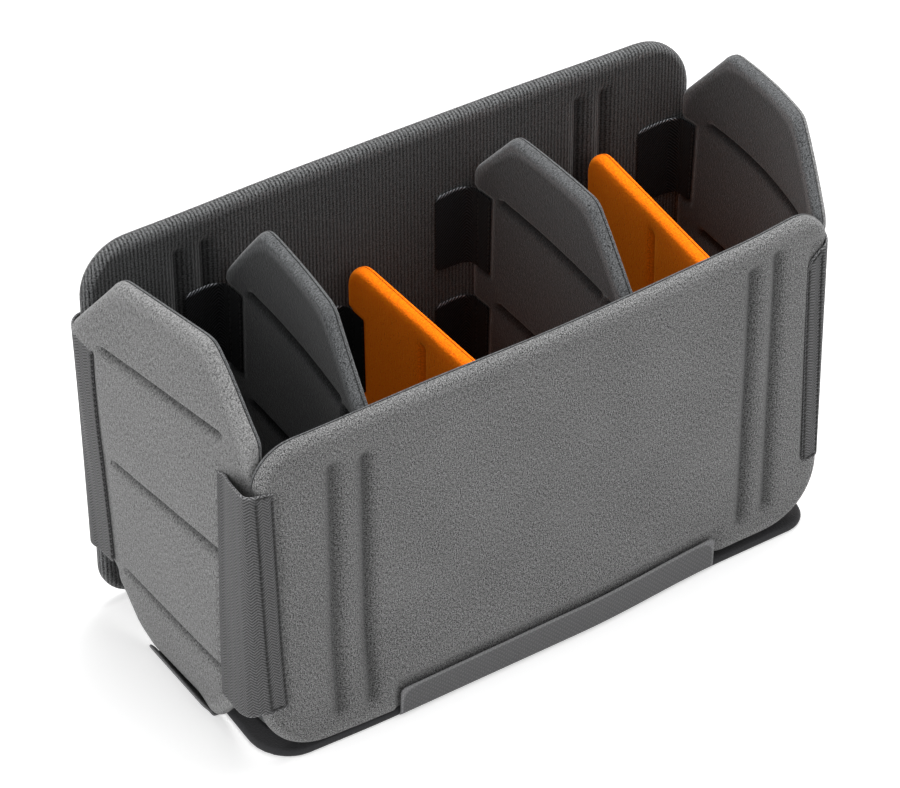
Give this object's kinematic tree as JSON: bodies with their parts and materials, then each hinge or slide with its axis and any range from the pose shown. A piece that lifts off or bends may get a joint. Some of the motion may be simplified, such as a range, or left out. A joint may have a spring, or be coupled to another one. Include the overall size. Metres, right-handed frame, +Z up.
{
  "type": "camera bag divider insert",
  "caption": "Open-top padded insert for a camera shoulder bag, with moulded foam walls and lift-out dividers on hook tabs.",
  "frame": {"origin": "middle of the bounding box, on the ground", "axes": "+X runs along the long walls to the right, +Y from the low front wall to the tall rear wall, +Z up"},
  "size_m": [0.3372, 0.1462, 0.2054],
  "materials": {
    "grey_felt": "brushed felt, matt",
    "pale_felt": "brushed felt, matt",
    "dark_loop": "ribbed loop knit, matt",
    "orange_felt": "brushed tricot, matt",
    "base_felt": "dense felt, matt",
    "stiffener_board": "plain sheet",
    "twill_webbing": "herringbone twill",
    "strip_webbing": "fine plain weave",
    "hook_tab": "herringbone twill, black"
  },
  "bodies": {
    "shell": {"front_wall_face_skin": "grey_felt", "front_wall_back_skin": "dark_loop", "front_wall_board": "stiffener_board", "rear_wall_face_skin": "dark_loop", "rear_wall_back_skin": "grey_felt", "rear_wall_board": "stiffener_board", "left_end_wall_face_skin": "pale_felt", "left_end_wall_back_skin": "dark_loop", "left_end_wall_board": "stiffener_board", "right_end_wall_face_skin": "dark_loop", "right_end_wall_back_skin": "pale_felt", "right_end_wall_board": "stiffener_board", "left_end_wall_tab_margin": "hook_tab", "right_end_wall_tab_margin": "hook_tab", "base_shell": "base_felt", "floor_pad": "dark_loop", "front_base_strip": "strip_webbing", "rear_base_strip": "strip_webbing", "left_base_strip": "strip_webbing", "right_base_strip": "strip_webbing", "front_left_corner_webbing": "twill_webbing", "front_right_corner_webbing": "twill_webbing", "rear_left_corner_webbing": "twill_webbing", "rear_right_corner_webbing": "twill_webbing"},
    "left_end_wall_tab": {"left_end_wall_tab_flap": "hook_tab"},
    "right_end_wall_tab": {"right_end_wall_tab_flap": "hook_tab"},
    "left_tall_divider": {"left_tall_divider_face_skin": "dark_loop", "left_tall_divider_back_skin": "dark_loop", "left_tall_divider_board": "stiffener_board", "left_tall_divider_rear_lower_tab_margin": "hook_tab", "left_tall_divider_front_lower_tab_margin": "hook_tab", "left_tall_divider_rear_upper_tab_margin": "hook_tab", "left_tall_divider_front_upper_tab_margin": "hook_tab"},
    "left_tall_divider_rear_lower_tab": {"left_tall_divider_rear_lower_tab_flap": "hook_tab"},
    "left_tall_divider_front_lower_tab": {"left_tall_divider_front_lower_tab_flap": "hook_tab"},
    "left_tall_divider_rear_upper_tab": {"left_tall_divider_rear_upper_tab_flap": "hook_tab"},
    "left_tall_divider_front_upper_tab": {"left_tall_divider_front_upper_tab_flap": "hook_tab"},
    "left_low_divider": {"left_low_divider_face_skin": "orange_felt", "left_low_divider_back_skin": "orange_felt", "left_low_divider_rear_tab_margin": "hook_tab", "left_low_divider_front_tab_margin": "hook_tab"},
    "left_low_divider_rear_tab": {"left_low_divider_rear_tab_flap": "hook_tab"},
    "left_low_divider_front_tab": {"left_low_divider_front_tab_flap": "hook_tab"},
    "right_tall_divider": {"right_tall_divider_face_skin": "dark_loop", "right_tall_divider_back_skin": "dark_loop", "right_tall_divider_board": "stiffener_board", "right_tall_divider_rear_lower_tab_margin": "hook_tab", "right_tall_divider_front_lower_tab_margin": "hook_tab", "right_tall_divider_rear_upper_tab_margin": "hook_tab", "right_tall_divider_front_upper_tab_margin": "hook_tab"},
    "right_tall_divider_rear_lower_tab": {"right_tall_divider_rear_lower_tab_flap": "hook_tab"},
    "right_tall_divider_front_lower_tab": {"right_tall_divider_front_lower_tab_flap": "hook_tab"},
    "right_tall_divider_rear_upper_tab": {"right_tall_divider_rear_upper_tab_flap": "hook_tab"},
    "right_tall_divider_front_upper_tab": {"right_tall_divider_front_upper_tab_flap": "hook_tab"},
    "right_low_divider": {"right_low_divider_face_skin": "orange_felt", "right_low_divider_back_skin": "orange_felt", "right_low_divider_rear_tab_margin": "hook_tab", "right_low_divider_front_tab_margin": "hook_tab"},
    "right_low_divider_rear_tab": {"right_low_divider_rear_tab_flap": "hook_tab"},
    "right_low_divider_front_tab": {"right_low_divider_front_tab_flap": "hook_tab"}
  },
  "joints": [
    {"name": "left_end_wall_tab_peel", "type": "hinge", "parent": "shell", "child": "left_end_wall_tab", "pos_m": [-0.15706, 0.06198, 0.1309], "axis": [0, 0, 1], "range_deg": [-83.3, 0]},
    {"name": "right_end_wall_tab_peel", "type": "hinge", "parent": "shell", "child": "right_end_wall_tab", "pos_m": [0.15691, 0.06198, 0.1309], "axis": [0, 0, 1], "range_deg": [0, 78.3]},
    {"name": "left_tall_divider_lift", "type": "slide", "parent": "shell", "child": "left_tall_divider", "axis": [0, 0, 1], "range_m": [0, 0.23]},
    {"name": "left_tall_divider_rear_lower_tab_peel", "type": "hinge", "parent": "left_tall_divider", "child": "left_tall_divider_rear_lower_tab", "pos_m": [-0.09777, 0.06198, 0.0752], "axis": [0, 0, 1], "range_deg": [0, 84]},
    {"name": "left_tall_divider_front_lower_tab_peel", "type": "hinge", "parent": "left_tall_divider", "child": "left_tall_divider_front_lower_tab", "pos_m": [-0.10211, -0.06222, 0.0752], "axis": [0, 0, 1], "range_deg": [-88, 0]},
    {"name": "left_tall_divider_rear_upper_tab_peel", "type": "hinge", "parent": "left_tall_divider", "child": "left_tall_divider_rear_upper_tab", "pos_m": [-0.09777, 0.06198, 0.1362], "axis": [0, 0, 1], "range_deg": [0, 84]},
    {"name": "left_tall_divider_front_upper_tab_peel", "type": "hinge", "parent": "left_tall_divider", "child": "left_tall_divider_front_upper_tab", "pos_m": [-0.10211, -0.06222, 0.1362], "axis": [0, 0, 1], "range_deg": [-88, 0]},
    {"name": "left_low_divider_lift", "type": "slide", "parent": "shell", "child": "left_low_divider", "axis": [0, 0, 1], "range_m": [0, 0.23]},
    {"name": "left_low_divider_rear_tab_peel", "type": "hinge", "parent": "left_low_divider", "child": "left_low_divider_rear_tab", "pos_m": [-0.03086, 0.06198, 0.0972], "axis": [0, 0, 1], "range_deg": [0, 85]},
    {"name": "left_low_divider_front_tab_peel", "type": "hinge", "parent": "left_low_divider", "child": "left_low_divider_front_tab", "pos_m": [-0.03302, -0.06222, 0.0972], "axis": [0, 0, 1], "range_deg": [-87, 0]},
    {"name": "right_tall_divider_lift", "type": "slide", "parent": "shell", "child": "right_tall_divider", "axis": [0, 0, 1], "range_m": [0, 0.23]},
    {"name": "right_tall_divider_rear_lower_tab_peel", "type": "hinge", "parent": "right_tall_divider", "child": "right_tall_divider_rear_lower_tab", "pos_m": [0.03723, 0.06198, 0.0752], "axis": [0, 0, 1], "range_deg": [0, 84]},
    {"name": "right_tall_divider_front_lower_tab_peel", "type": "hinge", "parent": "right_tall_divider", "child": "right_tall_divider_front_lower_tab", "pos_m": [0.03289, -0.06222, 0.0752], "axis": [0, 0, 1], "range_deg": [-88, 0]},
    {"name": "right_tall_divider_rear_upper_tab_peel", "type": "hinge", "parent": "right_tall_divider", "child": "right_tall_divider_rear_upper_tab", "pos_m": [0.03723, 0.06198, 0.1362], "axis": [0, 0, 1], "range_deg": [0, 84]},
    {"name": "right_tall_divider_front_upper_tab_peel", "type": "hinge", "parent": "right_tall_divider", "child": "right_tall_divider_front_upper_tab", "pos_m": [0.03289, -0.06222, 0.1362], "axis": [0, 0, 1], "range_deg": [-88, 0]},
    {"name": "right_low_divider_lift", "type": "slide", "parent": "shell", "child": "right_low_divider", "axis": [0, 0, 1], "range_m": [0, 0.23]},
    {"name": "right_low_divider_rear_tab_peel", "type": "hinge", "parent": "right_low_divider", "child": "right_low_divider_rear_tab", "pos_m": [0.10591, 0.06198, 0.1002], "axis": [0, 0, 1], "range_deg": [0, 78.3]},
    {"name": "right_low_divider_front_tab_peel", "type": "hinge", "parent": "right_low_divider", "child": "right_low_divider_front_tab", "pos_m": [0.08912, -0.06222, 0.1002], "axis": [0, 0, 1], "range_deg": [-93.7, 0]}
  ]
}
